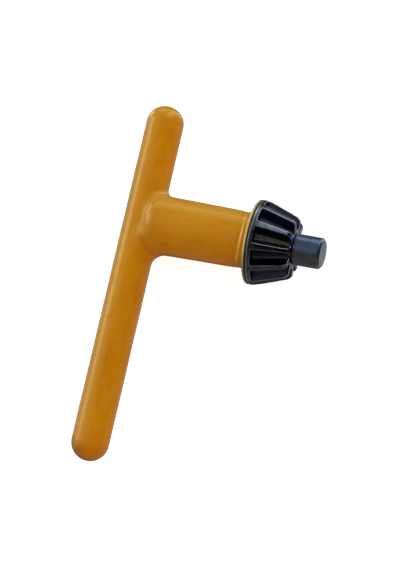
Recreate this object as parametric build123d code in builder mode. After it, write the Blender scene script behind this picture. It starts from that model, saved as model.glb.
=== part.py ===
"""Chuck key: a T-handled key that turns the geared ring of a drill chuck.

Millimetres. The origin is the middle of the pinion's front face, where the pilot leaves it. +X runs
out along the pilot, +Y along the cross bar to its short end, and +Z up, away from the plane of the T.
"""

import os
from math import cos, radians, sin, tan

from build123d import *

# ---- pilot pin: the plain nose that sits in the chuck body's hole ----
PILOT_RADIUS = 3.0
PILOT_REACH = 5.5
PILOT_NOSE_CHAMFER = 0.4
PILOT_ROOT_CHAMFER = 0.2
TAIL_RADIUS = 2.4
TAIL_LENGTH = 12.0
TAIL_CHAMFER = 0.4
DRILL_POINT_HALF_ANGLE = 59

# ---- pinion: a bevel gear with a closed rim behind its teeth ----
TOOTH_COUNT = 11
PINION_LENGTH = 7.5
RIM_RADIUS = 8.3
RIM_WIDTH = 0.7
RIM_EDGE = 0.25
CREST_RADIUS_REAR = 8.26
CREST_RADIUS_FRONT = 5.85
FRONT_CHAMFER = 0.4
ROOT_RADIUS_REAR = 6.06
ROOT_RADIUS_FRONT = 3.6
CREST_HALF_ANGLE_REAR = 4.65
CREST_HALF_ANGLE_FRONT = 3.7
ROOT_HALF_ANGLE = 9.3
ROOT_FILLET = 0.3
GROOVE_FRONT_OVERRUN = 1.0
GROOVE_FLARE = 1.0
SOCKET_RADIUS = 4.0
SOCKET_DEPTH = 3.4

# ---- spindle: the steel shank between the pinion and the cross bar ----
SHANK_LENGTH = 23.6
SPINDLE_RADIUS = 4.75
SPINDLE_END = 2.15
SPINDLE_END_ROUND = 1.7
NOSE_CHAMFER = 0.3

# ---- cross bar: round steel rod, set off centre ----
BAR_RADIUS = 2.75
BAR_SHORT_END = 22.4
BAR_LONG_END = 46.4
BAR_END_ROUND = 1.6

# ---- vinyl coating: the dipped skin over the bar, the spindle and the back of the pinion ----
COAT_BAR_RADIUS = 3.66
COAT_SHORT_END = 23.36
COAT_LONG_END = 47.5
COAT_SHANK_RADIUS_REAR = 5.81
COAT_SHANK_RADIUS_FRONT = 5.44
COAT_SHANK_END = 1.4
COAT_SHANK_END_ROUND = 2.6
COAT_FLANGE_RADIUS = 8.2
COAT_FLANGE_THICKNESS = 0.68
COAT_FLANGE_EDGE = 0.2
COAT_NECK_FILLET = 0.3
COAT_JUNCTION_FILLET = 1.3
NECK_PICK_REACH = 0.01          # the neck's edge is looked for this far either side of its station

# ---- stations along X ----
PINION_BACK = -PINION_LENGTH
BAR_AXIS = PINION_BACK - SHANK_LENGTH
RIM_FRONT = PINION_BACK + RIM_WIDTH
CREST_SLOPE = (CREST_RADIUS_REAR - CREST_RADIUS_FRONT) / -RIM_FRONT
RIM_SHOULDER = RIM_FRONT - (RIM_RADIUS - CREST_RADIUS_REAR) / CREST_SLOPE
SOCKET_FLOOR = PINION_BACK + SOCKET_DEPTH

os.makedirs("parts", exist_ok=True)


def across(x):
    """Plane square to the pilot's axis at x, with its own x along +Y and its own y along +Z."""
    return Plane(origin=(x, 0, 0), x_dir=(0, 1, 0), z_dir=(1, 0, 0))


def polar(radius, angle):
    """Point at a radius and an angle in degrees, measured from the section's second axis."""
    return (radius * sin(radians(angle)), radius * cos(radians(angle)))


def groove_corners(x):
    """Four corners of one tooth gap at station x, widened past the crest so that it cuts clear."""
    share = (x - RIM_FRONT) / (0 - RIM_FRONT)
    root = ROOT_RADIUS_REAR + share * (ROOT_RADIUS_FRONT - ROOT_RADIUS_REAR)
    crest = CREST_RADIUS_REAR + share * (CREST_RADIUS_FRONT - CREST_RADIUS_REAR)
    crest_half = CREST_HALF_ANGLE_REAR + share * (CREST_HALF_ANGLE_FRONT - CREST_HALF_ANGLE_REAR)
    half_pitch = 180 / TOOTH_COUNT
    root_x, root_y = polar(root, half_pitch - ROOT_HALF_ANGLE)
    crest_x, crest_y = polar(crest, half_pitch - crest_half)
    outer_x = root_x + (crest_x - root_x) * (1 + GROOVE_FLARE)
    outer_y = root_y + (crest_y - root_y) * (1 + GROOVE_FLARE)
    return [(-root_x, root_y), (root_x, root_y), (outer_x, outer_y), (-outer_x, outer_y)]


# ---- pilot pin: stepped, its thin tail is pressed through the pinion into the spindle ----
with BuildPart() as pilot_pin:
    with BuildSketch(Plane.XZ):
        with BuildLine():
            Polyline(
                (-TAIL_LENGTH, 0),
                (-TAIL_LENGTH, TAIL_RADIUS - TAIL_CHAMFER),
                (-TAIL_LENGTH + TAIL_CHAMFER, TAIL_RADIUS),
                (0, TAIL_RADIUS),
                (0, PILOT_RADIUS - PILOT_ROOT_CHAMFER),
                (PILOT_ROOT_CHAMFER, PILOT_RADIUS),
                (PILOT_REACH - PILOT_NOSE_CHAMFER, PILOT_RADIUS),
                (PILOT_REACH, PILOT_RADIUS - PILOT_NOSE_CHAMFER),
                (PILOT_REACH, 0),
                close=True,
            )
        make_face()
    revolve(axis=Axis.X)

# ---- pinion gear: turned blank, bored, then one groove cut and repeated round the axis ----
with BuildPart() as tooth_gap:
    for station in (RIM_FRONT, GROOVE_FRONT_OVERRUN):
        with BuildSketch(across(station)) as gap_section:
            with BuildLine():
                Polyline(*groove_corners(station), close=True)
            make_face()
            fillet(gap_section.vertices().group_by(Axis.Z)[0], radius=ROOT_FILLET)
    loft(ruled=True)

with BuildPart() as pinion_gear:
    with BuildSketch(Plane.XZ):
        with BuildLine():
            Polyline(
                (PINION_BACK, SOCKET_RADIUS),
                (PINION_BACK, RIM_RADIUS - RIM_EDGE),
                (PINION_BACK + RIM_EDGE, RIM_RADIUS),
                (RIM_SHOULDER, RIM_RADIUS),
                (-FRONT_CHAMFER, CREST_RADIUS_FRONT),
                (0, CREST_RADIUS_FRONT - FRONT_CHAMFER),
                (0, TAIL_RADIUS),
                (SOCKET_FLOOR, TAIL_RADIUS),
                (SOCKET_FLOOR, SOCKET_RADIUS),
                close=True,
            )
        make_face()
    revolve(axis=Axis.X)
    for index in range(TOOTH_COUNT):
        turned_gap = tooth_gap.part.rotate(Axis.X, index * 360 / TOOTH_COUNT)
        add(turned_gap, mode=Mode.SUBTRACT)

# ---- cross bar ----
with BuildPart() as cross_bar:
    with BuildSketch(Plane.XZ.offset(-BAR_SHORT_END)):
        with Locations((BAR_AXIS, 0)):
            Circle(BAR_RADIUS)
    extrude(amount=BAR_SHORT_END + BAR_LONG_END)
    fillet(cross_bar.faces().filter_by(GeomType.PLANE).edges(), radius=BAR_END_ROUND)

# ---- spindle: stepped nose in the pinion, domed end saddled half way over the cross bar ----
SADDLE_END = BAR_AXIS + SPINDLE_END
DRILL_POINT = -TAIL_LENGTH - TAIL_RADIUS / tan(radians(DRILL_POINT_HALF_ANGLE))

with BuildPart() as spindle:
    with BuildSketch(Plane.XZ):
        with BuildLine():
            end_round = CenterArc(
                (SADDLE_END + SPINDLE_END_ROUND, SPINDLE_RADIUS - SPINDLE_END_ROUND), SPINDLE_END_ROUND, 90, 90
            )
            Polyline(
                end_round @ 0,
                (PINION_BACK, SPINDLE_RADIUS),
                (PINION_BACK, SOCKET_RADIUS),
                (SOCKET_FLOOR - NOSE_CHAMFER, SOCKET_RADIUS),
                (SOCKET_FLOOR, SOCKET_RADIUS - NOSE_CHAMFER),
                (SOCKET_FLOOR, TAIL_RADIUS),
                (-TAIL_LENGTH, TAIL_RADIUS),
                (DRILL_POINT, 0),
                (SADDLE_END, 0),
                end_round @ 1,
            )
        make_face()
    revolve(axis=Axis.X)
    add(cross_bar.part, mode=Mode.SUBTRACT)

# ---- vinyl coating: outer shape of the T, with the steel pieces taken out of it ----
COAT_END = BAR_AXIS + COAT_SHANK_END
FLANGE_BACK = PINION_BACK - COAT_FLANGE_THICKNESS

with BuildPart() as vinyl_coating:
    with BuildSketch(Plane.XY):
        with BuildLine():
            short_cap = CenterArc((BAR_AXIS, COAT_SHORT_END - COAT_BAR_RADIUS), COAT_BAR_RADIUS, 0, 90)
            long_cap = CenterArc((BAR_AXIS, COAT_BAR_RADIUS - COAT_LONG_END), COAT_BAR_RADIUS, 270, 90)
            Line(short_cap @ 1, long_cap @ 0)
            Line(long_cap @ 1, short_cap @ 0)
        make_face()
    revolve(axis=Axis((BAR_AXIS, 0, 0), (0, 1, 0)))
    with BuildSketch(Plane.XZ):
        with BuildLine():
            coat_round = CenterArc(
                (COAT_END + COAT_SHANK_END_ROUND, COAT_SHANK_RADIUS_REAR - COAT_SHANK_END_ROUND),
                COAT_SHANK_END_ROUND,
                90,
                90,
            )
            Polyline(
                coat_round @ 0,
                (FLANGE_BACK, COAT_SHANK_RADIUS_FRONT),
                (FLANGE_BACK, COAT_FLANGE_RADIUS - COAT_FLANGE_EDGE),
                (FLANGE_BACK + COAT_FLANGE_EDGE, COAT_FLANGE_RADIUS),
                (PINION_BACK, COAT_FLANGE_RADIUS),
                (PINION_BACK, 0),
                (COAT_END, 0),
                coat_round @ 1,
            )
        make_face()
    revolve(axis=Axis.X)
    fillet(vinyl_coating.edges().filter_by(GeomType.BSPLINE), radius=COAT_JUNCTION_FILLET)
    neck_edges = vinyl_coating.edges().filter_by(GeomType.CIRCLE)
    neck_edges = neck_edges.filter_by_position(
        Axis.X, FLANGE_BACK - NECK_PICK_REACH, FLANGE_BACK + NECK_PICK_REACH
    )
    fillet(neck_edges.sort_by(SortBy.RADIUS)[0], radius=COAT_NECK_FILLET)
    with BuildSketch(across(PINION_BACK)):
        Circle(SOCKET_RADIUS)
    extrude(amount=-TAIL_LENGTH, mode=Mode.SUBTRACT)
    add(cross_bar.part, mode=Mode.SUBTRACT)
    add(spindle.part, mode=Mode.SUBTRACT)

for node, label in (
    (vinyl_coating, "vinyl_coating"),
    (cross_bar, "cross_bar"),
    (spindle, "spindle"),
    (pinion_gear, "pinion_gear"),
    (pilot_pin, "pilot_pin"),
):
    node.part.label = label
    export_step(node.part, f"parts/{label}.step")
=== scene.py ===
"""Chuck key: the looks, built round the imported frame."""

from math import cos, pi, radians, sin

import bpy
import numpy as np
from mathutils import Matrix, Vector


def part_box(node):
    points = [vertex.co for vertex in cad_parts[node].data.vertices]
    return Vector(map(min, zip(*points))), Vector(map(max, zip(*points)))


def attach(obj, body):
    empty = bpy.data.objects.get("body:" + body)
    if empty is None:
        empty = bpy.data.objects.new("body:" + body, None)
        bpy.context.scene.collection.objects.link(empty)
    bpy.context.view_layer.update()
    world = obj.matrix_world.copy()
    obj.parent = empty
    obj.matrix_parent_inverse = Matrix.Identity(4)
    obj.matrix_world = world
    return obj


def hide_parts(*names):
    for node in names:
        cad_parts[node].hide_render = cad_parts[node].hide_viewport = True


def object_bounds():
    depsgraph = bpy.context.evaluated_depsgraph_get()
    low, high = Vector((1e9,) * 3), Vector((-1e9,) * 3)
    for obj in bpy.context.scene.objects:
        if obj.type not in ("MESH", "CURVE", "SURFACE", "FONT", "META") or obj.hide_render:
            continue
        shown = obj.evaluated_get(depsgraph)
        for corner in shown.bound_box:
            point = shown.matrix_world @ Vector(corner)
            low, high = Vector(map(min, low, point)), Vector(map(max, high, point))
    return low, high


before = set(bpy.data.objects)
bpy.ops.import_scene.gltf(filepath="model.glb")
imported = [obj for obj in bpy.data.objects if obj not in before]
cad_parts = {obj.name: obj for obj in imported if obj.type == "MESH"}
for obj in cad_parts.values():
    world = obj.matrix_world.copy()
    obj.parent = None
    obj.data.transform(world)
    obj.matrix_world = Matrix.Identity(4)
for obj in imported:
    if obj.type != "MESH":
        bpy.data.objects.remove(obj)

MM = 0.001
cad_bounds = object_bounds()


# ---------------------------------------------------------------- the frame's sizes, in millimetres

def box_mm(node):
    """Lowest and highest corner of a CAD node, in millimetres."""
    low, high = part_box(node)
    return np.array(low) / MM, np.array(high) / MM


coat_low, coat_high = box_mm("vinyl_coating")
rod_low, rod_high = box_mm("cross_bar")
spindle_low, spindle_high = box_mm("spindle")
pinion_low, pinion_high = box_mm("pinion_gear")
pin_low, pin_high = box_mm("pilot_pin")

BAR_X = (rod_low[0] + rod_high[0]) / 2      # the cross bar's axis runs along Y at this X
ROD_RADIUS = (rod_high[2] - rod_low[2]) / 2
BAR_RADIUS = BAR_X - coat_low[0]            # over the coating
SPINDLE_RADIUS = spindle_high[2]
PINION_BACK = pinion_low[0]
RIM_RADIUS = pinion_high[2]
PIN_RADIUS = pin_high[2]
PIN_NOSE = pin_high[0]


# ---------------------------------------------------------------- camera

VIEW_AZIMUTH = radians(63.901)
VIEW_ELEVATION = radians(71.632)
VIEW_ROLL = radians(12.973)
VIEW_DISTANCE = 400.0       # mm from the crossing of bar and shank, along the view
VIEW_RIGHT = 11.234         # mm that the view is centred right of that crossing
VIEW_DOWN = 12.297          # mm that it is centred below it
LENS = 130.115              # mm
SENSOR = 36.0               # mm along the picture's long side
CLIP_NEAR, CLIP_FAR = 0.01, 20.0    # metres


def make_camera():
    back = Vector((
        sin(VIEW_AZIMUTH) * cos(VIEW_ELEVATION),
        -cos(VIEW_AZIMUTH) * cos(VIEW_ELEVATION),
        sin(VIEW_ELEVATION),
    ))
    along_bar = Vector((0, 1, 0))
    level_up = (along_bar - back * along_bar.dot(back)).normalized()
    level_right = level_up.cross(back)
    right = cos(VIEW_ROLL) * level_right + sin(VIEW_ROLL) * level_up
    up = cos(VIEW_ROLL) * level_up - sin(VIEW_ROLL) * level_right
    crossing = Vector((BAR_X, 0, 0))
    place = crossing + VIEW_DISTANCE * back + VIEW_RIGHT * right - VIEW_DOWN * up
    data = bpy.data.cameras.new("camera")
    data.sensor_width = SENSOR
    data.lens = LENS
    data.clip_start = CLIP_NEAR
    data.clip_end = CLIP_FAR
    camera = bpy.data.objects.new("camera", data)
    turn = Matrix((right, up, back)).transposed()
    camera.matrix_world = Matrix.Translation(place * MM) @ turn.to_4x4()
    bpy.context.scene.collection.objects.link(camera)
    bpy.context.scene.camera = camera


# ---------------------------------------------------------------- distance functions
# Points are rows of x, y, z in millimetres. A distance is negative inside the solid.

RIPPLE_WAVES = 7
RIPPLE_SPREAD = (0.7, 1.6)      # shortest and longest wave, over the wavelength asked for
RIPPLE_PEAK = 1.6               # the waves' usual peak together, over the root of their number


def round_union(a, b, radius):
    """Union of two solids, with a concave fillet of that radius where they meet."""
    ra = np.maximum(radius - a, 0)
    rb = np.maximum(radius - b, 0)
    return np.maximum(radius, np.minimum(a, b)) - np.hypot(ra, rb)


def round_common(a, b, radius):
    """What two solids share, with its edge rounded to that radius."""
    ra = np.maximum(radius + a, 0)
    rb = np.maximum(radius + b, 0)
    return np.minimum(-radius, np.maximum(a, b)) + np.hypot(ra, rb)


def smooth_step(low, high, value):
    """0 at low and before it, 1 at high and past it, eased between. Low may be the larger."""
    t = np.clip((value - low) / (high - low), 0, 1)
    return t * t * (3 - 2 * t)


def ripple(points, wavelength, seed):
    """Smooth unevenness between about -1 and 1: a few plane waves with fixed random directions."""
    draw = np.random.default_rng(seed)
    total = np.zeros(len(points))
    for _ in range(RIPPLE_WAVES):
        direction = draw.normal(size=3)
        direction /= np.linalg.norm(direction)
        length = wavelength * draw.uniform(*RIPPLE_SPREAD)
        total += np.sin(points @ direction * (2 * pi / length) + draw.uniform(0, 2 * pi))
    return total / RIPPLE_WAVES ** 0.5 / RIPPLE_PEAK


# ---- vinyl coating ----
SHORT_CAP_LENGTH = 3.45         # the short end's cap is a little flatter than a half ball
LONG_CAP_LENGTH = 3.66
SHANK_RADIUS = 5.81             # over the coating, at the bar's axis
SHANK_TAPER = 0.016             # radius lost for each mm towards the pinion
SHANK_END = 1.4                 # the shank's end stands this far in front of the bar's axis
SHANK_END_ROUND = 2.6
JUNCTION_FILLET = 0.95
SHORT_SIDE_FILLET = 0.6         # added to the fillet on the bar's short side
LONG_SIDE_FILLET = 1.5          # added on its long side, where the vinyl drained
SIDE_FILLET_REACH = 4.0         # they are added in full this far from the shank's middle
FLANGE_THICKNESS = 0.68
FLANGE_RADIUS = 8.2
FLANGE_ROUND = 0.2
SEAM_ROUND = 0.25
FLANGE_FILLET = 0.3
RIDGE_BEHIND = 1.8              # a bead round the shank, its crest this far behind the pinion
RIDGE_SAG = 0.022               # it runs back towards the shank's two sides, by this times y squared
RIDGE_RISE = 0.5                # its back slope is this long
RIDGE_HEIGHT = 0.24
RIDGE_ENDS = (5.4, 4.0)         # it fades out between these distances either side of the middle
RIDGE_LEAD = 0.07               # the shank thins by this much just before the bead
RIDGE_LEAD_LENGTH = 1.5         # over this length
NECK_DIP = 0.24                 # from the crest down to the neck at the flange
ROD_END_ROUND = 1.6
SPINDLE_END_ROUND = 2.0
STEEL_GAP = 0.02                # left open between the coating and the steel
RIPPLES = ((0.018, 9.0, 3), (0.008, 3.5, 5))    # the dip's unevenness: height, wavelength, seed
PIMPLE_SLOPE = 1.5              # a pimple's radius over the width of its bell
PIMPLES = (                     # centre, radius, height
    ((-19.86, 0.2, 5.63), 0.34, 0.17),
    ((-19.9, -0.5, 5.62), 0.3, 0.11),
    ((-15.33, 3.71, 4.12), 0.3, 0.08),
)
PITS = (                        # centre, radius
    ((-32.21, -19.6, 3.49), 0.24),
    ((-30.56, -27.78, 3.6), 0.2),
)
CAP_DARK_PATCHES = (                     # darker olive patches on the long end's cap: centre, radius, strength
    ((-31.74, -46.08, 2.82), 1.3, 0.3),
    ((-34.5, -44.6, 1.5), 2.2, 0.7),
    ((-33.5, -46.4, 1.2), 2.2, 0.7),
    ((-31.5, -47.4, 0.5), 2.0, 0.6),
)
SCUFF_CENTRE, SCUFF_RADIUS = (-28.7, -2.3, 4.7), 2.2


def bar_outside(p):
    """The coated cross bar, with an oval cap at each end."""
    over_short = np.maximum(p[:, 1] - (coat_high[1] - SHORT_CAP_LENGTH), 0)
    over_long = np.maximum((coat_low[1] + LONG_CAP_LENGTH) - p[:, 1], 0)
    over = over_short * BAR_RADIUS / SHORT_CAP_LENGTH + over_long * BAR_RADIUS / LONG_CAP_LENGTH
    return np.sqrt((p[:, 0] - BAR_X) ** 2 + p[:, 2] ** 2 + over ** 2) - BAR_RADIUS


def ridge_behind(p):
    """How far behind the pinion the bead's crest runs."""
    return RIDGE_BEHIND + RIDGE_SAG * p[:, 1] ** 2


def shank_outside(p):
    """The coated shank, with its bead and its neck."""
    along = p[:, 0] - BAR_X
    behind = PINION_BACK - p[:, 0]
    radius = SHANK_RADIUS - SHANK_TAPER * along
    past_ridge = behind - ridge_behind(p)
    rise = smooth_step(RIDGE_RISE, 0, past_ridge)
    fall = smooth_step(0, FLANGE_THICKNESS - RIDGE_BEHIND, past_ridge)
    lead = smooth_step(RIDGE_RISE + RIDGE_LEAD_LENGTH, RIDGE_RISE, past_ridge)
    height = RIDGE_HEIGHT * smooth_step(*RIDGE_ENDS, np.abs(p[:, 1]))
    radius += height * rise - RIDGE_LEAD * lead - NECK_DIP * fall
    out = np.hypot(p[:, 1], p[:, 2]) - radius
    end = SHANK_END - along
    front = p[:, 0] - PINION_BACK
    return np.maximum(round_common(out, end, SHANK_END_ROUND), front)


def flange_outside(p):
    """The thin skin over the pinion's back face."""
    out = np.hypot(p[:, 1], p[:, 2]) - FLANGE_RADIUS
    rear = PINION_BACK - FLANGE_THICKNESS - p[:, 0]
    front = p[:, 0] - PINION_BACK
    return round_common(round_common(out, rear, FLANGE_ROUND), front, SEAM_ROUND)


def steel_inside(p):
    """The cross bar and the spindle, as the coating wraps them."""
    rod = np.hypot(p[:, 0] - BAR_X, p[:, 2]) - ROD_RADIUS
    rod_middle, rod_half = (rod_low[1] + rod_high[1]) / 2, (rod_high[1] - rod_low[1]) / 2
    rod = round_common(rod, np.abs(p[:, 1] - rod_middle) - rod_half, ROD_END_ROUND)
    shank = np.hypot(p[:, 1], p[:, 2]) - SPINDLE_RADIUS
    shank = round_common(shank, spindle_low[0] - p[:, 0], SPINDLE_END_ROUND)
    return np.minimum(rod, shank) - STEEL_GAP


def coating(p):
    """The whole vinyl skin, hollowed for the steel."""
    across = p[:, 1]
    fillet = JUNCTION_FILLET + SHORT_SIDE_FILLET * smooth_step(0, SIDE_FILLET_REACH, across)
    fillet = fillet + LONG_SIDE_FILLET * smooth_step(0, -SIDE_FILLET_REACH, across)
    outside = round_union(bar_outside(p), shank_outside(p), fillet)
    outside = round_union(outside, flange_outside(p), FLANGE_FILLET)
    outside = np.maximum(outside, p[:, 0] - PINION_BACK)
    outside += sum(height * ripple(p, wavelength, seed) for height, wavelength, seed in RIPPLES)
    for centre, radius, height in PIMPLES:
        away = ((p - np.array(centre)) ** 2).sum(1)
        outside -= height * np.exp(-away / (radius / PIMPLE_SLOPE) ** 2)
    return np.maximum(outside, -steel_inside(p))


# ---- pinion ----
TOOTH_COUNT = 11
PITCH = 2 * pi / TOOTH_COUNT
RIM_WIDTH = 0.7
CREST_REAR, CREST_FRONT = 8.26, 5.85
ROOT_REAR, ROOT_FRONT = 6.06, 3.6
CREST_HALF_REAR, CREST_HALF_FRONT = radians(4.65), radians(3.7)
ROOT_HALF = radians(9.3)
FRONT_CHAMFER = 0.4
TOOTH_EDGE = 0.09
RIM_FRONT_ROUND = 0.5
RIM_REAR_ROUND = 0.3
ROOT_FILLET = 0.3
WALL_LEAN = 0.12                # a gap's rear wall leans forward by this much for each mm up
WALL_FILLET = 0.2
BORE_RADIUS = 2.4
RIM_FRONT = PINION_BACK + RIM_WIDTH
CONE_SLOPE = (CREST_REAR - CREST_FRONT) / -RIM_FRONT
CONE_LEAN = 1 / np.hypot(1, CONE_SLOPE)


def pinion_blank(p):
    """The turned shape, before its teeth are cut."""
    x = p[:, 0]
    r = np.hypot(p[:, 1], p[:, 2])
    cone = (r - CREST_REAR + CONE_SLOPE * (x - RIM_FRONT)) * CONE_LEAN
    chamfer = (r - (CREST_FRONT - FRONT_CHAMFER) + x) / 2 ** 0.5
    blank = round_common(r - RIM_RADIUS, cone, RIM_FRONT_ROUND)
    blank = round_common(blank, chamfer, TOOTH_EDGE)
    blank = round_common(blank, x, TOOTH_EDGE)
    blank = round_common(blank, PINION_BACK - x, RIM_REAR_ROUND)
    return np.maximum(blank, BORE_RADIUS - r)


def tooth_gap(p):
    """The gap between two teeth, folded on to every tooth."""
    x = p[:, 0]
    r = np.hypot(p[:, 1], p[:, 2])
    angle = np.arctan2(p[:, 1], p[:, 2])
    angle = (angle + PITCH / 2) % PITCH - PITCH / 2
    share = (x - RIM_FRONT) / -RIM_FRONT
    crest = CREST_REAR + share * (CREST_FRONT - CREST_REAR)
    root = ROOT_REAR + share * (ROOT_FRONT - ROOT_REAR)
    crest_half = PITCH / 2 - (CREST_HALF_REAR + share * (CREST_HALF_FRONT - CREST_HALF_REAR))
    root_half = PITCH / 2 - ROOT_HALF
    root_side, root_up = root * sin(root_half), root * cos(root_half)
    crest_side, crest_up = crest * np.sin(crest_half), crest * np.cos(crest_half)
    side = np.abs(r * np.sin(angle))
    up = r * np.cos(angle)
    run = np.hypot(crest_side - root_side, crest_up - root_up)
    flank = (side - root_side) * (crest_up - root_up) - (up - root_up) * (crest_side - root_side)
    flank /= run
    floor = (root_up - up) * CONE_LEAN
    wall = RIM_FRONT - x + WALL_LEAN * (up - root_up)
    return round_common(round_common(flank, floor, ROOT_FILLET), wall, WALL_FILLET)


def pinion(p):
    return round_common(pinion_blank(p), -tooth_gap(p), TOOTH_EDGE)


# ---------------------------------------------------------------- surfaces from distance functions

GRADIENT_REACH = 0.01           # mm either side of a point
LEAST_SLOPE = 0.25              # squared, so that a step stays finite where the distance is flat
TINY = 1e-9
SETTLE_ROUNDS = 3
RELAX_ROUNDS = 3
RELAX_SHARE = 0.6               # how far a vertex moves to the middle of its neighbours
GRID_MARGIN = 1.5               # steps before the box, and one more after it

# A grid cell's eight corners, and its twelve edges as pairs of them.
CORNERS = [(i, j, k) for i in (0, 1) for j in (0, 1) for k in (0, 1)]
EDGES = [(a, b) for a in range(8) for b in range(a + 1, 8)
         if sum(abs(u - v) for u, v in zip(CORNERS[a], CORNERS[b])) == 1]


def gradient(distance, points):
    """Slope of a distance function along X, Y and Z."""
    slopes = np.empty_like(points)
    for axis in range(3):
        shift = np.zeros(3)
        shift[axis] = GRADIENT_REACH
        change = distance(points + shift) - distance(points - shift)
        slopes[:, axis] = change / (2 * GRADIENT_REACH)
    return slopes


def settle(distance, points, step):
    """Moves points straight onto the surface, by at most a step each round."""
    for _ in range(SETTLE_ROUNDS):
        slope = gradient(distance, points)
        size = np.maximum((slope ** 2).sum(1), LEAST_SLOPE)
        move = -slope * (distance(points) / size)[:, None]
        length = np.linalg.norm(move, axis=1)
        points = points + move * np.minimum(1, step / np.maximum(length, TINY))[:, None]
    return points


def wrap(distance, low, high, step, fine_from=None, fine_step=None):
    """Quads round the solid: one vertex in each grid cell that its surface crosses.
    From fine_from on, the grid's layers along X are closer."""
    before, after = GRID_MARGIN, GRID_MARGIN + 1
    axes = [np.arange(a - before * step, b + after * step, step) for a, b in zip(low, high)]
    if fine_from is not None:
        coarse = axes[0][axes[0] < fine_from]
        fine = np.arange(coarse[-1] + fine_step, high[0] + after * fine_step, fine_step)
        axes[0] = np.append(coarse, fine)
    shape = tuple(len(a) for a in axes)
    values = np.empty(shape)
    across, upward = np.meshgrid(axes[1], axes[2], indexing="ij")
    for i, x in enumerate(axes[0]):
        layer = np.stack([np.full(across.size, x), across.ravel(), upward.ravel()], 1)
        values[i] = distance(layer).reshape(across.shape)
    solid = values < 0
    count = np.zeros(tuple(n - 1 for n in shape), int)
    for i, j, k in CORNERS:
        count += solid[i:shape[0] - 1 + i, j:shape[1] - 1 + j, k:shape[2] - 1 + k]
    cells = np.argwhere((count > 0) & (count < 8))
    number = np.full(count.shape, -1)
    number[tuple(cells.T)] = np.arange(len(cells))

    held = np.stack([values[tuple((cells + corner).T)] for corner in CORNERS], 1)
    total = np.zeros((len(cells), 3))
    crossings = np.zeros(len(cells))
    for a, b in EDGES:
        crossed = (held[:, a] < 0) != (held[:, b] < 0)
        share = np.where(crossed, held[:, a] / np.where(crossed, held[:, a] - held[:, b], 1), 0)
        start, end = np.array(CORNERS[a]), np.array(CORNERS[b])
        total += crossed[:, None] * (start + share[:, None] * (end - start))
        crossings += crossed
    inner = cells + total / crossings[:, None]
    points = np.stack([np.interp(inner[:, i], np.arange(shape[i]), axes[i]) for i in range(3)], 1)

    quads = []
    for axis in range(3):
        u, v = (axis + 1) % 3, (axis + 2) % 3
        here = [slice(1, -1)] * 3
        here[axis] = slice(0, -1)
        there = [slice(1, -1)] * 3
        there[axis] = slice(1, None)
        starts, ends = solid[tuple(here)], solid[tuple(there)]
        edge = np.argwhere(starts != ends)
        leaving = starts[tuple(edge.T)]
        base = edge + 1
        base[:, axis] -= 1
        ring = []
        for du, dv in ((1, 1), (0, 1), (0, 0), (1, 0)):
            cell = base.copy()
            cell[:, u] -= du
            cell[:, v] -= dv
            ring.append(number[tuple(cell.T)])
        quad = np.stack(ring, 1)
        quad[~leaving] = quad[~leaving][:, ::-1]
        quads.append(quad)
    quads = np.concatenate(quads)

    pairs = np.concatenate([quads[:, [i, (i + 1) % 4]] for i in range(4)])
    for _ in range(RELAX_ROUNDS):
        total = np.zeros_like(points)
        for column in range(3):
            total[:, column] += np.bincount(pairs[:, 0], points[pairs[:, 1], column], len(points))
            total[:, column] += np.bincount(pairs[:, 1], points[pairs[:, 0], column], len(points))
        joined = np.bincount(pairs.ravel(), minlength=len(points))
        relaxed = (1 - RELAX_SHARE) * points + RELAX_SHARE * total / joined[:, None]
        points = settle(distance, relaxed, step)
    return points, quads


def add_mesh(name, points, faces, normals=None):
    mesh = bpy.data.meshes.new(name)
    mesh.from_pydata((points * MM).tolist(), [], faces.tolist() if hasattr(faces, "tolist") else faces)
    mesh.polygons.foreach_set("use_smooth", [True] * len(mesh.polygons))
    mesh.update()
    piece = bpy.data.objects.new(name, mesh)
    bpy.context.scene.collection.objects.link(piece)
    if normals is not None:
        mesh.normals_split_custom_set_from_vertices(normals.tolist())
    return piece


def surface_normals(distance, points):
    """Normals of the exact surface, which shade smoother than the mesh's own."""
    slope = gradient(distance, points)
    return slope / np.linalg.norm(slope, axis=1)[:, None]


def add_attribute(piece, name, values):
    """A number at each vertex, for the materials to read."""
    attribute = piece.data.attributes.new(name, "FLOAT", "POINT")
    attribute.data.foreach_set("value", np.asarray(values, float))


# ---- pilot pin, turned from a profile ----
TAIL_RADIUS = 2.4
TAIL_CHAMFER = 0.4
ROOT_CHAMFER = 0.2
NOSE_CHAMFER = 0.45
NOSE_EDGE = 0.05                # its two edges are broken this far
NOSE_HOLD = 3                   # and held by a ring at this many times that
TURNED_SIDES = 128
PIN_SHARP_ANGLE = radians(35)


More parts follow.
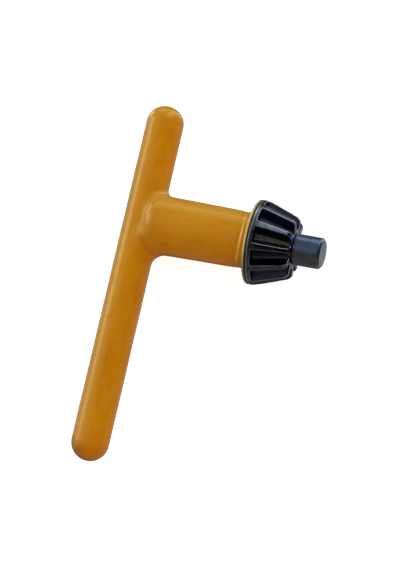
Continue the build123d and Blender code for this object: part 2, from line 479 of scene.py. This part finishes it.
def make_pin():
    tail = pin_low[0]
    profile = [(tail, 0), (tail, TAIL_RADIUS - TAIL_CHAMFER), (tail + TAIL_CHAMFER, TAIL_RADIUS),
               (0, TAIL_RADIUS), (0, PIN_RADIUS - ROOT_CHAMFER), (ROOT_CHAMFER, PIN_RADIUS)]
    corner = PIN_NOSE - NOSE_CHAMFER
    for back in (NOSE_HOLD * NOSE_EDGE, NOSE_EDGE):
        profile.append((corner - back, PIN_RADIUS))
    profile.append((corner + NOSE_EDGE, PIN_RADIUS - NOSE_EDGE))
    profile.append((PIN_NOSE - NOSE_EDGE, PIN_RADIUS - NOSE_CHAMFER + NOSE_EDGE))
    for inward in (NOSE_EDGE, NOSE_HOLD * NOSE_EDGE):
        profile.append((PIN_NOSE, PIN_RADIUS - NOSE_CHAMFER - inward))
    profile.append((PIN_NOSE, 0))
    points, faces = [], []
    rings = profile[1:-1]
    for x, r in rings:
        for i in range(TURNED_SIDES):
            turn = 2 * pi * i / TURNED_SIDES
            points.append((x, r * cos(turn), r * sin(turn)))
    for ring in range(len(rings) - 1):
        for i in range(TURNED_SIDES):
            a = ring * TURNED_SIDES + i
            b = ring * TURNED_SIDES + (i + 1) % TURNED_SIDES
            faces.append((a, b, b + TURNED_SIDES, a + TURNED_SIDES))
    first = list(range(TURNED_SIDES))
    last = [(len(rings) - 1) * TURNED_SIDES + i for i in range(TURNED_SIDES)]
    faces.append(first[::-1])
    faces.append(last)
    piece = add_mesh("turned_pin", np.array(points), faces)
    piece.data.set_sharp_from_angle(angle=PIN_SHARP_ANGLE)
    return piece


# ---------------------------------------------------------------- materials

class Nodes:
    """Short hand for building a node tree. A socket goes by its name, or by its number as in #2."""

    def __init__(self, tree):
        self.tree = tree
        self.tree.nodes.clear()

    def add(self, kind, settings=None, **inputs):
        node = self.tree.nodes.new("ShaderNode" + kind)
        for name, value in (settings or {}).items():
            setattr(node, name, value)
        for name, value in inputs.items():
            self.put(node, name.replace("_", " "), value)
        return node

    def put(self, node, name, value):
        socket = node.inputs[int(name[1:])] if name[0] == "#" else node.inputs[name]
        if isinstance(value, bpy.types.NodeSocket):
            self.tree.links.new(value, socket)
        else:
            socket.default_value = value

    def math(self, operation, *values):
        node = self.add("Math", {"operation": operation})
        for index, value in enumerate(values):
            self.put(node, f"#{index}", value)
        return node.outputs[0]

    def times(self, a, b):
        return self.math("MULTIPLY", a, b)

    def times_plus(self, a, b, c):
        return self.math("MULTIPLY_ADD", a, b, c)

    def ramp(self, value, *stops):
        """Colours at places between 0 and 1."""
        node = self.add("ValToRGB", Fac=value)
        elements = node.color_ramp.elements
        for element, (place, colour) in zip(elements, stops):
            element.position = place
            element.color = (*colour, 1)
        return node.outputs["Color"]

    def fade(self, value, places, levels):
        """A ramp between two greys, to use as a share."""
        return self.ramp(value, *((place, (level,) * 3) for place, level in zip(places, levels)))

    def spread(self, value, lowest, highest):
        """Maps 0 to 1 onto lowest to highest."""
        return self.add("MapRange", Value=value, To_Min=lowest, To_Max=highest).outputs[0]

    def noise(self, vector, scale, detail=3.0):
        return self.add("TexNoise", Vector=vector, Scale=scale, Detail=detail).outputs["Fac"]

    def attribute(self, name):
        return self.add("Attribute", {"attribute_name": name}).outputs["Fac"]

    def mix(self, share, a, b):
        node = self.add("Mix", {"data_type": "RGBA"})
        self.put(node, "#0", share)
        self.put(node, "#6", a if isinstance(a, bpy.types.NodeSocket) else (*a, 1))
        self.put(node, "#7", b if isinstance(b, bpy.types.NodeSocket) else (*b, 1))
        return node.outputs[2]

    def mix_level(self, share, a, b):
        node = self.add("Mix", {"data_type": "FLOAT"}, Factor=share)
        self.put(node, "#2", a)
        self.put(node, "#3", b)
        return node.outputs[0]

    def surface(self, **inputs):
        shader = self.add("BsdfPrincipled", **inputs)
        self.add("OutputMaterial", Surface=shader.outputs[0])


def new_material(name):
    material = bpy.data.materials.new(name)
    material.use_nodes = True
    return material, Nodes(material.node_tree)


def place_mm(n):
    """The surface point in millimetres: the pieces' origins are the row's origin."""
    spot = n.add("TexCoord").outputs["Object"]
    return n.add("VectorMath", {"operation": "SCALE"}, Vector=spot, Scale=1 / MM).outputs[0]


def bell(n, value, centre, width):
    """A smooth hump: 1 at the centre, falling off over the width."""
    off = n.math("DIVIDE", n.math("SUBTRACT", value, centre), width)
    return n.math("EXPONENT", n.times(n.times(off, off), -1.0))


def step_up(n, value, low, high):
    """The same as smooth_step, in nodes."""
    node = n.add("MapRange", {"interpolation_type": "SMOOTHSTEP"}, Value=value, From_Min=low, From_Max=high)
    return node.outputs[0]


def toward(n, ray, direction):
    """Cosine between a ray and a direction."""
    node = n.add("VectorMath", {"operation": "DOT_PRODUCT"}, Vector=ray)
    node.inputs[1].default_value = Vector(direction).normalized()
    return node.outputs["Value"]


def near_point(n, spot, centre, radius):
    """1 within half the radius of a point in millimetres, 0 beyond the radius."""
    away = n.add("VectorMath", {"operation": "DISTANCE"}, Vector=spot)
    away.inputs[1].default_value = centre
    return step_up(n, away.outputs["Value"], radius, radius / 2)


# ---- dipped vinyl. Colours are linear, and a noise scale is its cells per millimetre ----
VINYL_DEEP, VINYL_PALE = (0.75, 0.235, 0.002), (0.82, 0.275, 0.003)
VINYL_CLOUD_SCALE = 0.12
STREAK_PALE, STREAK_DEEP = (0.83, 0.33, 0.006), (0.70, 0.19, 0.001)
STREAK_SCALE = 0.8
BAR_STRETCH, SHANK_STRETCH = (1.0, 0.3, 1.0), (0.3, 1.0, 1.0)
STREAK_TURN = (3.0, 6.0)        # the streaks turn along the shank between these distances from the bar
PIT_COLOUR, PIT_SHARE = (0.12, 0.05, 0.01), 0.6
LIT_SIDE_COLOUR, LIT_SIDE_SHARE = (0.76, 0.36, 0.03), 0.5
POOL_AND_SHADE_COLOUR = (0.72, 0.170, 0.001)
CAP_DARK_COLOUR, CAP_DARK_SCALE = (0.15, 0.095, 0.04), 0.9
GLINT_COLOUR, GLINT_SHARE = (0.95, 0.50, 0.07), 0.75
FLANGE_DEEP, FLANGE_PALE = (0.78, 0.47, 0.14), (0.92, 0.61, 0.22)
FLANGE_SCALE = 0.4
FLANGE_SHORT_SHADE_COLOUR, FLANGE_SHORT_SHADE_SIDE = (0.50, 0.44, 0.23), (2.5, 6.0)
FLANGE_LONG_SHADE_COLOUR, FLANGE_LONG_SHADE_SIDE = (0.26, 0.23, 0.11), (-3.0, -7.0)
VINYL_GAP_SHADE_COLOUR = (0.05, 0.036, 0.018)
VINYL_ROUGH, VINYL_ROUGH_SCALE = (0.10, 0.17), 0.5
PEEL = ((0.7, 0.6), (2.2, 0.25))            # orange peel: noise scale, height
SCUFF_ROUGH, SCUFF_PEEL, SCUFF_SCALE = 0.22, 1.5, 1.2
PEEL_STRENGTH, PEEL_DISTANCE = 0.35, 0.0001     # a bump's distance is in metres


def streaked(n, spot, colour):
    """Runs left by the dip, along the bar and along the shank."""
    from_bar = n.add("SeparateXYZ", Vector=spot).outputs["X"]
    on_shank = step_up(n, from_bar, BAR_X + STREAK_TURN[0], BAR_X + STREAK_TURN[1])
    runs = []
    for stretch in (BAR_STRETCH, SHANK_STRETCH):
        drawn = n.add("VectorMath", {"operation": "MULTIPLY"}, Vector=spot)
        drawn.inputs[1].default_value = stretch
        runs.append(n.noise(drawn.outputs[0], STREAK_SCALE, 4.0))
    mottle = n.mix_level(on_shank, *runs)
    colour = n.mix(n.fade(mottle, (0.48, 0.7), (0, 0.35)), colour, STREAK_PALE)
    return n.mix(n.fade(mottle, (0.3, 0.5), (0.45, 0)), colour, STREAK_DEEP)


def flange_colour(n, spot):
    """The thin skin on the flange shows the dark steel under it; towards its two sides it is darker with
    painted shade, most on the long side.
    """
    colour = n.ramp(n.noise(spot, FLANGE_SCALE), (0.3, FLANGE_DEEP), (0.7, FLANGE_PALE))
    across = n.add("SeparateXYZ", Vector=spot).outputs["Y"]
    # painted shade towards the flange's two sides
    colour = n.mix(step_up(n, across, *FLANGE_SHORT_SHADE_SIDE), colour, FLANGE_SHORT_SHADE_COLOUR)
    return n.mix(step_up(n, across, *FLANGE_LONG_SHADE_SIDE), colour, FLANGE_LONG_SHADE_COLOUR)


def vinyl_material():
    material, n = new_material("dipped_vinyl")
    spot = place_mm(n)
    colour = n.ramp(n.noise(spot, VINYL_CLOUD_SCALE), (0.3, VINYL_DEEP), (0.7, VINYL_PALE))
    colour = streaked(n, spot, colour)
    for centre, radius in PITS:
        pit = n.times(near_point(n, spot, centre, radius), PIT_SHARE)
        colour = n.mix(pit, colour, PIT_COLOUR)
    # painted light: faces towards -X and +Y are made paler and yellower, as where the soft boxes light them
    colour = n.mix(n.times(n.attribute("painted_lit_side"), LIT_SIDE_SHARE), colour, LIT_SIDE_COLOUR)
    # deeper orange where the vinyl gathered, partly painted shade in the T's lower corner and on the long
    # side
    colour = n.mix(n.attribute("pool_and_shade"), colour, POOL_AND_SHADE_COLOUR)
    # darker olive patches on the long end's cap
    patchy = n.fade(n.noise(spot, CAP_DARK_SCALE, 4.0), (0.35, 0.6), (0.5, 1))
    for centre, radius, share in CAP_DARK_PATCHES:
        cap_dark = n.times(near_point(n, spot, centre, radius), share)
        colour = n.mix(n.times(cap_dark, patchy), colour, CAP_DARK_COLOUR)
    # painted highlight: a pale orange glint line along the bead's back slope
    colour = n.mix(n.times(n.attribute("bead"), GLINT_SHARE), colour, GLINT_COLOUR)
    colour = n.mix(n.attribute("thin"), colour, flange_colour(n, spot))
    # painted shade in the gap between the flange and the pinion's rim
    colour = n.mix(n.attribute("gap_shade"), colour, VINYL_GAP_SHADE_COLOUR)
    (coarse_scale, coarse_height), (fine_scale, fine_height) = PEEL
    fine = n.times(n.noise(spot, fine_scale, 2.0), fine_height)
    peel = n.times_plus(n.noise(spot, coarse_scale, 2.0), coarse_height, fine)
    scuff = near_point(n, spot, SCUFF_CENTRE, SCUFF_RADIUS)
    peel = n.times_plus(n.times(scuff, n.noise(spot, SCUFF_SCALE)), SCUFF_PEEL, peel)
    rough = n.spread(n.noise(spot, VINYL_ROUGH_SCALE), *VINYL_ROUGH)
    rough = n.times_plus(scuff, SCUFF_ROUGH, rough)
    bump = n.add("Bump", Height=peel, Strength=PEEL_STRENGTH, Distance=PEEL_DISTANCE).outputs[0]
    n.surface(Base_Color=colour, Roughness=rough, Normal=bump, IOR=1.5, Specular_IOR_Level=0.65,
              Specular_Tint=(1.0, 0.95, 0.45, 1))
    return material


# ---- black oxide, on the pinion ----
OXIDE_DARK, OXIDE_PALE = (0.036, 0.040, 0.058), (0.062, 0.068, 0.095)
BLANK_FACE_DARK, BLANK_FACE_PALE = (0.125, 0.145, 0.215), (0.20, 0.225, 0.31)
OXIDE_SCALE = 0.6
WORN_LIT_COLOUR, WORN_LIT_SCALE = (0.66, 0.68, 0.74), 1.1
OXIDE_GAP_SHADE_COLOUR = (0.012, 0.011, 0.010)
FILM_AND_SHEEN_WALL, FILM_AND_SHEEN_FLOOR = (0.045, 0.050, 0.070), (0.12, 0.105, 0.095)
FILM_AND_SHEEN_SCALE = 1.5
OXIDE_ROUGH, OXIDE_ROUGH_SCALE = (0.20, 0.33), 2.0
GRAIN_SCALE, GRAIN_STRENGTH, GRAIN_DISTANCE = 6.0, 0.3, 0.00003


def oxide_material():
    material, n = new_material("black_oxide")
    spot = place_mm(n)
    patch = n.noise(spot, OXIDE_SCALE, 4.0)
    colour = n.ramp(patch, (0.35, OXIDE_DARK), (0.7, OXIDE_PALE))
    # lighter on the faces of the turned blank (crests, rim and front) than in the cut grooves
    blank_face = n.ramp(patch, (0.3, BLANK_FACE_DARK), (0.7, BLANK_FACE_PALE))
    colour = n.mix(n.attribute("on_blank_face"), colour, blank_face)
    # worn edges, also a painted highlight along the tooth and rim edges
    broken = n.fade(n.noise(spot, WORN_LIT_SCALE), (0.3, 0.5), (0.7, 1))
    colour = n.mix(n.times(n.attribute("edge"), broken), colour, WORN_LIT_COLOUR)
    # painted shade in the gap between the flange and the pinion's rim
    colour = n.mix(n.attribute("gap_shade"), colour, OXIDE_GAP_SHADE_COLOUR)
    # a dull coat on up-facing groove faces: partly dirt, partly painted reflection of the light
    patchy = n.fade(n.noise(spot, FILM_AND_SHEEN_SCALE, 4.0), (0.3, 0.7), (0.6, 1))
    film_and_sheen = n.times(n.attribute("dust_and_sheen"), patchy)
    colour = n.mix(film_and_sheen, colour, n.mix(n.attribute("floor"), FILM_AND_SHEEN_WALL, FILM_AND_SHEEN_FLOOR))
    bare = n.math("SUBTRACT", 1.0, film_and_sheen)
    rough = n.spread(n.noise(spot, OXIDE_ROUGH_SCALE), *OXIDE_ROUGH)
    grain = n.noise(spot, GRAIN_SCALE)
    bump = n.add("Bump", Height=grain, Strength=GRAIN_STRENGTH, Distance=GRAIN_DISTANCE).outputs[0]
    n.surface(Base_Color=colour, Metallic=bare, Roughness=rough, Normal=bump)
    return material


# ---- blued steel, on the pilot pin ----
BLUE_DARK, BLUE_PALE = (0.13, 0.17, 0.31), (0.20, 0.25, 0.41)
SHADE_SIDE_DARK, SHADE_SIDE_PALE = (0.15, 0.145, 0.155), (0.23, 0.22, 0.23)
BLUED_SCALE = 0.5
SHADE_SIDE = (-0.4, -1.3)       # it turns from blue to a greyer painted shade across these values of Y
GROUND_DARK, GROUND_PALE = (0.15, 0.17, 0.23), (0.36, 0.39, 0.48)
GROUND_SCALE = 3.0
NOSE_FACE = (0.09, 0.01)        # the ground face of the nose starts and ends this far behind its front
PIN_ROUGH, PIN_ROUGH_SCALE = (0.18, 0.28), 2.0


def pin_material():
    material, n = new_material("blued_steel_pin")
    spot = place_mm(n)
    patch = n.noise(spot, BLUED_SCALE, 4.0)
    blue = n.ramp(patch, (0.35, BLUE_DARK), (0.7, BLUE_PALE))
    shade_side = n.ramp(patch, (0.35, SHADE_SIDE_DARK), (0.7, SHADE_SIDE_PALE))
    parts = n.add("SeparateXYZ", Vector=spot)
    # painted shade: the pin's side towards -Y is greyer and darker
    colour = n.mix(step_up(n, parts.outputs["Y"], *SHADE_SIDE), blue, shade_side)
    ground = n.ramp(n.noise(spot, GROUND_SCALE, 4.0), (0.35, GROUND_DARK), (0.65, GROUND_PALE))
    face = step_up(n, parts.outputs["X"], PIN_NOSE - NOSE_FACE[0], PIN_NOSE - NOSE_FACE[1])
    colour = n.mix(face, colour, ground)
    rough = n.spread(n.noise(spot, PIN_ROUGH_SCALE), *PIN_ROUGH)
    n.surface(Base_Color=colour, Metallic=0.85, Roughness=rough)
    return material


# ---- plain steel, inside the skin ----
STEEL_DARK, STEEL_PALE = (0.35, 0.34, 0.33), (0.5, 0.49, 0.48)
STEEL_SCALE = 0.8


def steel_material():
    material, n = new_material("bar_steel")
    colour = n.ramp(n.noise(place_mm(n), STEEL_SCALE, 4.0), (0.3, STEEL_DARK), (0.7, STEEL_PALE))
    n.surface(Base_Color=colour, Metallic=1.0, Roughness=0.4)
    return material


# ---------------------------------------------------------------- stage and light

FLOOR_HALF = 3.0                # metres
FLOOR_GAP = 0.0001              # metres below the key
FLOOR_GREY = (0.8, 0.8, 0.8, 1)
FLOOR_GLOW = 0.75

# What gloss sees: dark overhead, brighter low down on the bar's back side and off its short end. Each
# box has a strength and its cuts, which multiply: the ray's part that a cut reads, a step between two
# values or a bell with a centre and a width, and the share of the box that the cut governs.
SOFT_BOXES = {
    "wall behind the bar": (0.80, (
        ("X", step_up, 0.3, -1.0, 1), ("Y", step_up, -0.65, -0.2, 1),
        ("Y", bell, 0.1, 0.5, 0.55), ("Z", step_up, -0.3, 0.25, 0.65))),
    "strip along the bar": (2.2, (
        ("Z", bell, 0.31, 0.24, 1), ("X", step_up, -0.55, -0.9, 1), ("Y", bell, 0.18, 0.2, 1))),
    "far off the short end": (0.9, (
        ("Z", bell, 0.13, 0.28, 1), ("Y", step_up, 0.6, 0.95, 1), ("X", bell, -0.28, 0.25, 0.6))),
    "key on the pinion": (1.4, (
        ("X", bell, 0.35, 0.2, 1), ("Y", step_up, 0.45, 0.65, 1))),
    "ground": (0.25, (
        ("Z", step_up, 0.0, -0.3, 1), ("Y", step_up, -1.0, -0.3, 1),
        ("Y", step_up, 0.9, 0.4, 1), ("Z", step_up, -0.9, -0.5, 1))),
    "below the nose": (0.38, (
        ("Z", step_up, -0.6, -0.9, 1), ("X", step_up, -0.05, 0.2, 1))),
    "fill off the long end": (0.13, (
        ("Y", step_up, -0.3, -0.75, 1),)),
}
LAMP_FROM, LAMP_EDGE, LAMP_LIGHT = (-0.85, 0.45, -0.28), (0.965, 0.985), 2.4

MATT_LIGHT = 0.60               # what matt surfaces see, on the average of all sides
MATT_FROM, MATT_EXTRA = (0.1, 0.95, 0.2), 0.27
BACKDROP = 0.95                 # what the camera sees past the floor
TINT_FROM, TINT_EDGE = (-0.4, 0.85, 0.3), (-0.8, 0.8)
TINT_AWAY, TINT_FACING = (1.0, 0.90, 1.0), (0.98, 1.20, 1.0)        # of the matt light only


def make_floor():
    level = cad_bounds[0].z - FLOOR_GAP
    corners = [(x * FLOOR_HALF, y * FLOOR_HALF, level) for x, y in ((-1, -1), (1, -1), (1, 1), (-1, 1))]
    mesh = bpy.data.meshes.new("floor")
    mesh.from_pydata(corners, [], [(0, 1, 2, 3)])
    floor = bpy.data.objects.new("floor", mesh)
    bpy.context.scene.collection.objects.link(floor)
    material, n = new_material("pale_floor")
    n.surface(Base_Color=FLOOR_GREY, Roughness=0.9, Emission_Color=(1, 1, 1, 1), Emission_Strength=FLOOR_GLOW)
    mesh.materials.append(material)
    floor.visible_glossy = False
    floor.visible_diffuse = False
    floor.visible_shadow = False


def soft_boxes(n, ray):
    """The light that gloss sees along a ray."""
    parts = n.add("SeparateXYZ", Vector=ray)
    lamp = step_up(n, toward(n, ray, LAMP_FROM), *LAMP_EDGE)
    level = n.times(lamp, LAMP_LIGHT)
    for strength, cuts in SOFT_BOXES.values():
        box = 1.0
        for axis, shape, first, second, share in cuts:
            cut = shape(n, parts.outputs[axis], first, second)
            box = n.times(n.times_plus(cut, share, 1 - share), box)
        level = n.times_plus(box, strength, level)
    return level


def make_world():
    """Even soft light for the matt part of every surface, a little stronger off the bar's short end, and
    soft boxes for the glossy part."""
    world = bpy.data.worlds.new("studio")
    bpy.context.scene.world = world
    world.use_nodes = True
    n = Nodes(world.node_tree)
    ray = n.add("TexCoord").outputs["Generated"]
    path = n.add("LightPath")
    matt = n.times_plus(toward(n, ray, MATT_FROM), MATT_EXTRA, MATT_LIGHT)
    level = n.mix_level(path.outputs["Is Glossy Ray"], matt, soft_boxes(n, ray))
    level = n.mix_level(path.outputs["Is Camera Ray"], level, BACKDROP)
    facing = step_up(n, toward(n, ray, TINT_FROM), *TINT_EDGE)
    tint = n.mix(facing, TINT_AWAY, TINT_FACING)
    tint = n.mix(path.outputs["Is Diffuse Ray"], (1, 1, 1), tint)
    back = n.add("Background", Color=tint, Strength=level)
    n.add("OutputWorld", Surface=back.outputs[0])
    world.cycles.sampling_method = "NONE"


# ---------------------------------------------------------------- attributes for the materials
# A pair runs from 0 to 1. It is in millimetres, or for a normal in its part along an axis.

SKIN_SPREAD = (5.9, 6.6)        # thin skin on the flange, by distance from the pilot's axis
SKIN_DEPTH = 1.5                # and no further than this behind the pinion
NECK_SKIN, NECK_SKIN_SHARE = (1.6, 1.0), 0.4        # the neck counts as part thin
DRAINED_SIDE = (2.0, -3.0)      # the vinyl drained towards the long side, along Y
DRAINED_LEAST = 0.3
POOL_DEPTH = (1.0, 1.85)        # over the steel
LONG_END, LONG_END_SHARE = (-40.0, -46.0), 0.5      # the long end counts as part thick
LIT_SIDE_NORMAL = (-0.15, 0.9)      # painted light: faces towards -X or +Y are painted paler and yellower
COAT_GAP_SHADE = (0.30, 0.16)        # behind the pinion: painted shade in the gap between flange and rim
GLINT_EDGE = (-0.15, 0.1)        # past the crest of the bead, and the same past its back slope
GLINT_MIDDLE, GLINT_ENDS = -0.4, (5.0, 3.6)           # along Y
GLINT_SPREAD = (6.4, 6.1)

BLANK_FACE_DEPTH = (-0.16, -0.03)  # under the turned blank's surface
WORN_LIT_EDGE = (0.13, 0.04)        # from a tooth's edge
WORN_LIT_RIM, WORN_LIT_RIM_INSET = (0.17, 0.06), 0.1
DUST_AND_SHEEN_NORMAL = (0.82, 0.93)      # towards +Z: a dull coat there, partly dirt and partly painted reflection
DUST_AND_SHEEN_DEPTH = (-0.2, -0.5)
FLOOR_NORMAL = (0.80, 0.90)     # away from the pilot's axis
GEAR_GAP_SHADE = (0.20, 0.10)        # in front of the pinion's back: painted shade in the gap between flange and rim


def mark_coat(coat, points, normals):
    """Where the vinyl is thin; where it gathered deeper, partly painted shade in the T's lower corner;
    painted light on faces towards -X and +Y; painted shade in the gap at the pinion; a painted glint along
    the bead.
    """
    spread = np.hypot(points[:, 1], points[:, 2])
    behind = PINION_BACK - points[:, 0]
    on_flange = smooth_step(*SKIN_SPREAD, spread) * (behind < SKIN_DEPTH)
    add_attribute(coat, "thin", np.maximum(on_flange, NECK_SKIN_SHARE * smooth_step(*NECK_SKIN, behind)))
    drained = DRAINED_LEAST + (1 - DRAINED_LEAST) * smooth_step(*DRAINED_SIDE, points[:, 1])
    # partly painted shade: deeper orange in the fillets and towards the long side
    pooled_and_shaded = drained * smooth_step(*POOL_DEPTH, steel_inside(points))
    at_end = LONG_END_SHARE * smooth_step(*LONG_END, points[:, 1])
    add_attribute(coat, "pool_and_shade", np.maximum(pooled_and_shaded, at_end))
    # painted light on the faces towards -X and +Y
    lit_side = np.maximum(-normals[:, 0], normals[:, 1])
    add_attribute(coat, "painted_lit_side", smooth_step(*LIT_SIDE_NORMAL, lit_side))
    # painted shade in the gap between the flange and the pinion's rim
    add_attribute(coat, "gap_shade", smooth_step(*COAT_GAP_SHADE, behind))
    # painted highlight: a glint line along the bead's back slope
    past_crest = behind - ridge_behind(points)
    past_slope = past_crest - RIDGE_RISE
    glint = smooth_step(*GLINT_EDGE, past_crest) * smooth_step(*reversed(GLINT_EDGE), past_slope)
    glint *= smooth_step(*GLINT_ENDS, np.abs(points[:, 1] - GLINT_MIDDLE))
    add_attribute(coat, "bead", glint * smooth_step(*GLINT_SPREAD, spread))


def mark_gear(gear, points, normals):
    """Where the pinion shows its turned blank, its edges (worn, and painted with a highlight), a dull coat on
    up-facing faces that is partly painted reflection, a groove's floor, and painted shade in the gap at its
    back.
    """
    spread = np.hypot(points[:, 1], points[:, 2])
    in_front = points[:, 0] - PINION_BACK
    near_blank = pinion_blank(points)
    near_gap = -tooth_gap(points)
    add_attribute(gear, "on_blank_face", smooth_step(*BLANK_FACE_DEPTH, near_blank))
    # worn edges, also a painted highlight along the tooth and rim edges
    from_rim = np.hypot(in_front - RIM_REAR_ROUND, spread - RIM_RADIUS + WORN_LIT_RIM_INSET)
    worn_lit_teeth = smooth_step(*WORN_LIT_EDGE, np.hypot(near_blank, near_gap))
    add_attribute(gear, "edge", np.maximum(worn_lit_teeth, smooth_step(*WORN_LIT_RIM, from_rim)))
    # a dull coat on up-facing faces, partly painted reflection
    upward = smooth_step(*DUST_AND_SHEEN_NORMAL, normals[:, 2])
    add_attribute(gear, "dust_and_sheen", upward * smooth_step(*DUST_AND_SHEEN_DEPTH, near_blank))
    outward = (normals[:, 1:] * points[:, 1:]).sum(1) / spread
    add_attribute(gear, "floor", smooth_step(*FLOOR_NORMAL, outward))
    # painted shade in the gap between the flange and the pinion's rim
    add_attribute(gear, "gap_shade", smooth_step(*GEAR_GAP_SHADE, in_front))


# ---------------------------------------------------------------- build

COAT_STEP = 0.2                 # mm between the grid's layers
NECK_STEP, NECK_LENGTH = 0.08, 3.5      # closer layers on the last of the shank
GEAR_STEP = 0.1

make_camera()
bpy.context.scene.view_settings.view_transform = "Standard"
make_floor()
make_world()

coat_points, coat_faces = wrap(coating, coat_low, coat_high, COAT_STEP, PINION_BACK - NECK_LENGTH, NECK_STEP)
coat_normals = surface_normals(coating, coat_points)
coat = add_mesh("vinyl_skin", coat_points, coat_faces, coat_normals)
coat.data.materials.append(vinyl_material())
mark_coat(coat, coat_points, coat_normals)
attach(coat, "root")
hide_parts("vinyl_coating")

gear_points, gear_faces = wrap(pinion, pinion_low, pinion_high, GEAR_STEP)
gear_normals = surface_normals(pinion, gear_points)
gear = add_mesh("bevel_pinion", gear_points, gear_faces, gear_normals)
gear.data.materials.append(oxide_material())
mark_gear(gear, gear_points, gear_normals)
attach(gear, "root")
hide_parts("pinion_gear")

pin = make_pin()
pin.data.materials.append(pin_material())
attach(pin, "root")
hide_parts("pilot_pin")

steel = steel_material()
for node in ("cross_bar", "spindle"):
    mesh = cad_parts[node].data
    mesh.materials.clear()
    mesh.materials.append(steel)
